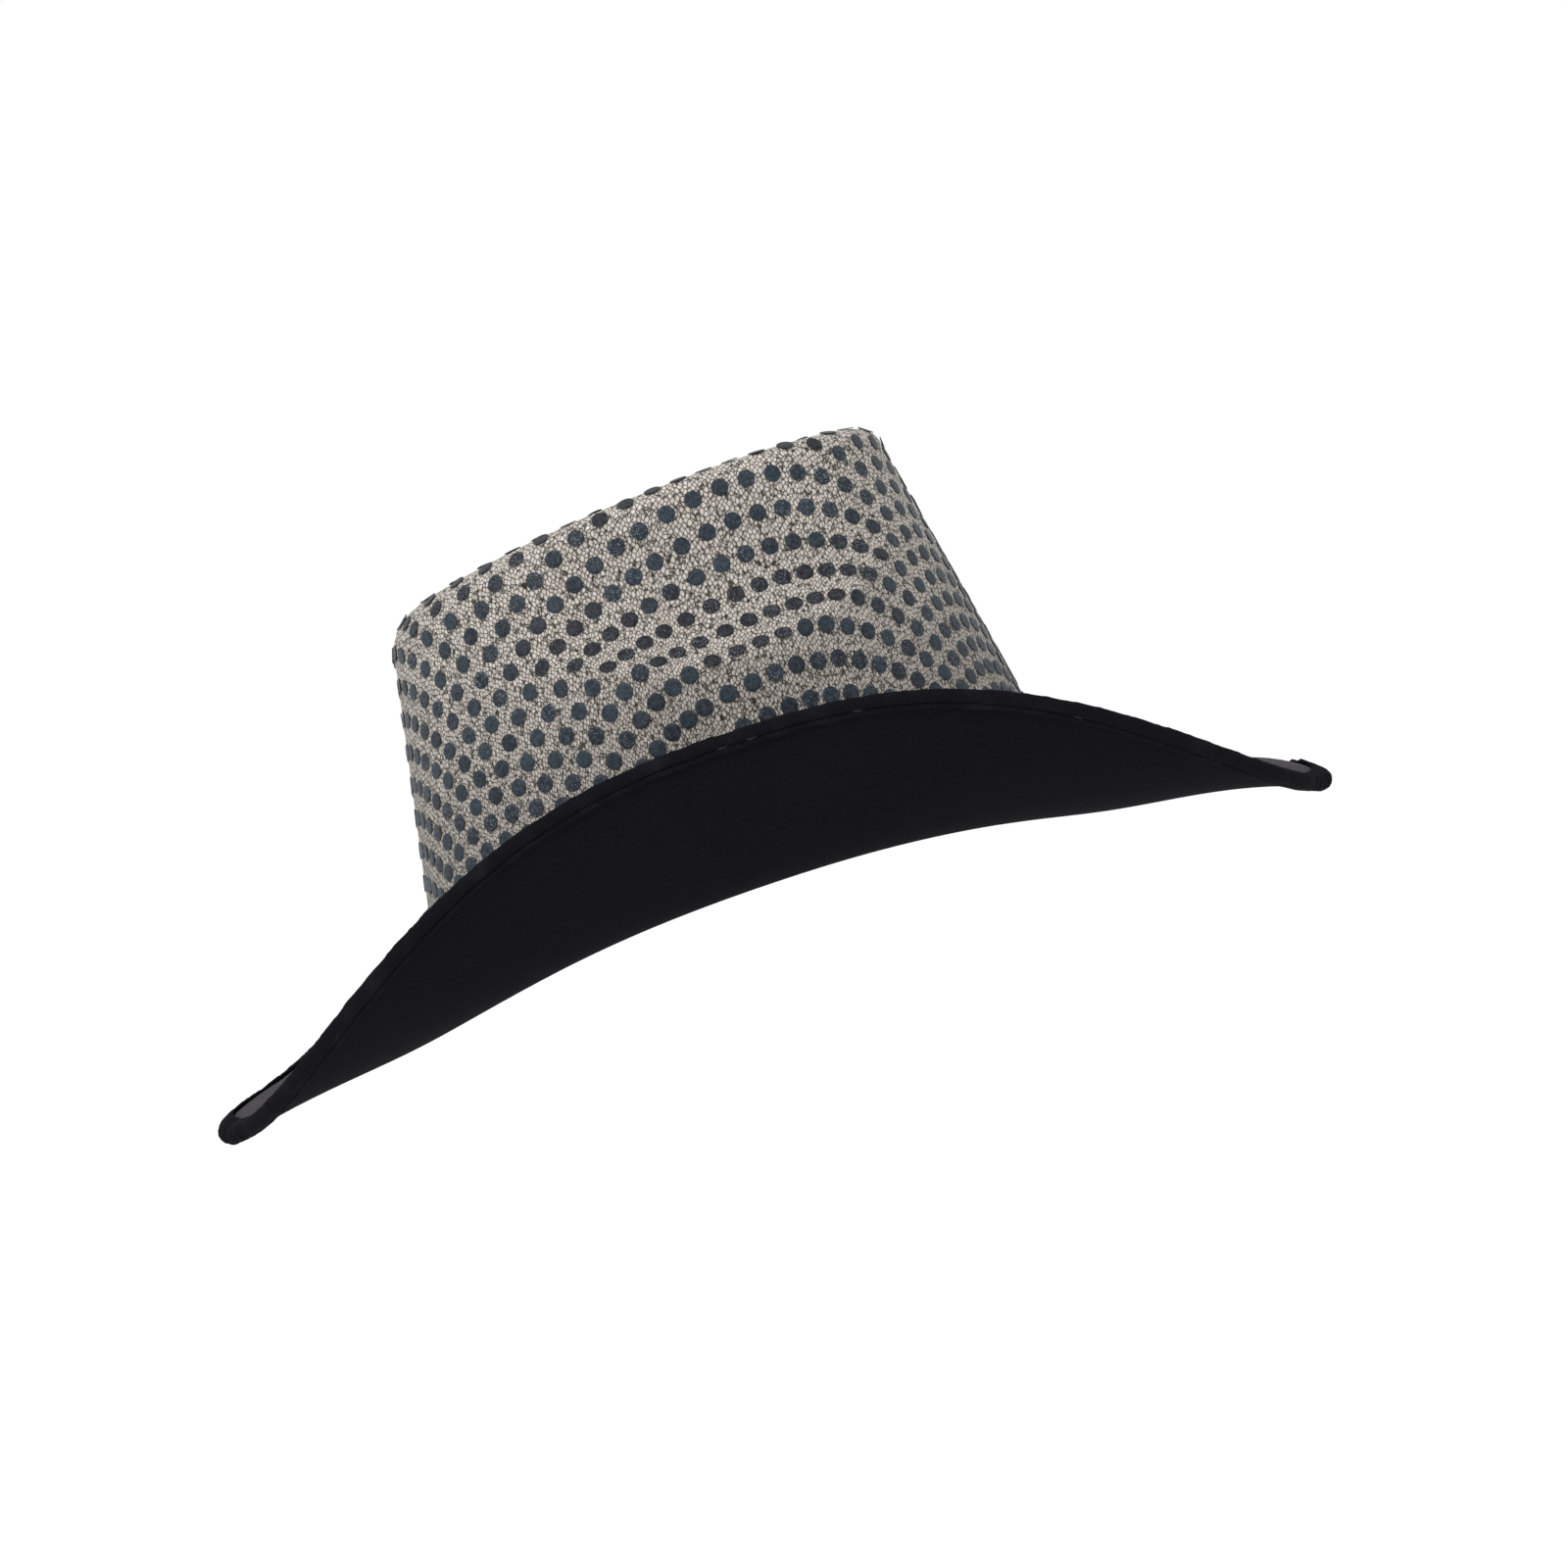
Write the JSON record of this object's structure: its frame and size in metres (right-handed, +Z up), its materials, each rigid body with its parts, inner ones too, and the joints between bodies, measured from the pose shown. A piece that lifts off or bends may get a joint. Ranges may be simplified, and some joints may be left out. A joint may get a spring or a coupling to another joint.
{
  "type": "party cowboy hat",
  "caption": "Party cowboy hat: creased crown covered in sequin knit, rolled black felt brim with a bound edge, open below for the wearer's head.",
  "frame": {"origin": "middle of the head opening, level with the crown-to-brim join at the sides", "axes": "+Z up through the crown, -Y to the front of the hat, +X to the wearer's left side"},
  "size_m": [0.2612, 0.3758, 0.1549],
  "materials": {
    "sequin_knit": "open taupe warp knit",
    "sequins": "mottled navy and gunmetal film discs",
    "board_felt": "stiffened non-woven felt",
    "black_felt": "smooth matte felt",
    "charcoal_satin": "fine-ribbed satin",
    "binding_tape": "ribbed woven tape",
    "ribbon": "grosgrain ribbon",
    "thread": "polyester sewing thread",
    "shaping_wire": "drawn steel"
  },
  "bodies": {
    "root": {"crown_cover": "sequin_knit", "crown_shell": "board_felt", "brim_underside": "black_felt", "brim_core": "board_felt", "brim_top_cover": "charcoal_satin", "edge_binding": "binding_tape", "brim_wire": "shaping_wire", "wire_ferrule": "shaping_wire", "binding_stitching": "thread", "sweatband": "ribbon", "sweatband_stitching": "thread"}
  },
  "joints": []
}
